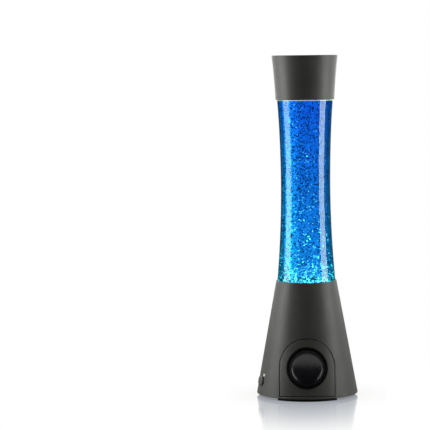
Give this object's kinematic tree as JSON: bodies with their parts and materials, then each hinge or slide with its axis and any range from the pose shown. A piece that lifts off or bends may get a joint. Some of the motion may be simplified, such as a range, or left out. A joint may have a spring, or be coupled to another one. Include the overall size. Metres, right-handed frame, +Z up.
{
  "type": "glitter lamp",
  "caption": "Table lamp with a waisted glass bottle of glitter fluid on a conical base that holds a bulb, a loudspeaker and a side button, under a flared cap.",
  "frame": {"origin": "on the floor under the lamp's axis, at the bottom centre of its box", "axes": "+Z up along the bottle, -Y towards the front, where the loudspeaker is, +X to the right seen from the front"},
  "size_m": [0.113, 0.113, 0.38],
  "materials": {
    "shell_plastic": "satin moulded",
    "clear_glass": "clear polished",
    "blue_fluid": "clear blue liquid with metallic flakes",
    "silicone": "soft translucent",
    "spun_aluminium": "spun",
    "steel": "zinc plated",
    "brass": "drawn",
    "copper_wire": "enamelled copper wire",
    "ferrite": "sintered",
    "white_ceramic": "unglazed",
    "frosted_glass": "frosted",
    "black_plastic": "fine moulded texture",
    "black_rubber": "matte",
    "cone_gloss": "glossy moulded",
    "amber_cloth": "varnished weave",
    "terminal_board": "laminate",
    "circuit_board": "solder resist",
    "white_plastic": "translucent",
    "lead_insulation": "satin insulation"
  },
  "bodies": {
    "base": {"base_housing": "shell_plastic", "speaker_panel": "shell_plastic", "bottle_seat_ring": "silicone", "reflector": "spun_aluminium", "reflector_screw_1": "steel", "reflector_screw_2": "steel", "bottom_cover": "black_plastic", "cover_screw_1": "steel", "cover_screw_2": "steel", "cover_screw_3": "steel", "foot_front": "black_rubber", "foot_left": "black_rubber", "foot_right": "black_rubber", "lamp_bracket": "steel", "bracket_screw_1": "steel", "bracket_screw_2": "steel", "lamp_holder": "white_ceramic", "holder_contact": "brass", "lamp_nipple": "brass", "nipple_nut": "steel", "speaker_trim_ring": "black_plastic", "speaker_basket": "steel", "speaker_surround": "black_rubber", "speaker_spider": "amber_cloth", "speaker_top_plate": "steel", "speaker_magnet": "ferrite", "speaker_yoke": "steel", "speaker_terminals": "terminal_board", "button_switch": "black_plastic", "button_board": "circuit_board", "button_board_screw_1": "steel", "button_board_screw_2": "steel", "status_led": "white_plastic", "indicator_lens": "white_plastic", "power_inlet": "black_plastic", "power_inlet_nut": "steel", "audio_board": "circuit_board", "audio_board_screw_1": "steel", "audio_board_screw_2": "steel", "wireless_module": "steel", "amplifier_chip": "black_plastic", "filter_capacitor": "black_plastic", "speaker_lead": "lead_insulation", "lamp_lead": "lead_insulation", "inlet_lead": "lead_insulation", "button_lead": "lead_insulation"},
    "bottle": {"glass_bottle": "clear_glass", "glitter_fluid": "blue_fluid", "bottle_closure": "spun_aluminium", "closure_liner": "silicone"},
    "cap": {"top_cap": "shell_plastic"},
    "diaphragm": {"speaker_cone": "cone_gloss", "voice_coil": "copper_wire"},
    "button": {"side_button": "shell_plastic", "switch_plunger": "black_plastic"},
    "bulb": {"bulb_envelope": "frosted_glass", "bulb_cap": "brass", "bulb_filament": "steel"}
  },
  "joints": [
    {"name": "bottle_lift", "type": "slide", "parent": "base", "child": "bottle", "axis": [0, 0, 1], "range_m": [0, 0.06]},
    {"name": "cap_lift", "type": "slide", "parent": "bottle", "child": "cap", "axis": [0, 0, 1], "range_m": [0, 0.055]},
    {"name": "cone_travel", "type": "slide", "parent": "base", "child": "diaphragm", "axis": [0, -0.9839, 0.1789], "range_m": [-0.0012, 0.0012], "stiffness_N_per_m": 600, "deforming": ["speaker_surround", "speaker_spider"]},
    {"name": "button_press", "type": "slide", "parent": "base", "child": "button", "axis": [0.9409, 0.2877, -0.1789], "range_m": [0, 0.0005], "stiffness_N_per_m": 1500, "springref_m": -0.0002},
    {"name": "bulb_turn", "type": "hinge", "parent": "base", "child": "bulb", "pos_m": [0, 0, 0.041], "axis": [0, 0, 1], "range_deg": [0, 900]}
  ]
}
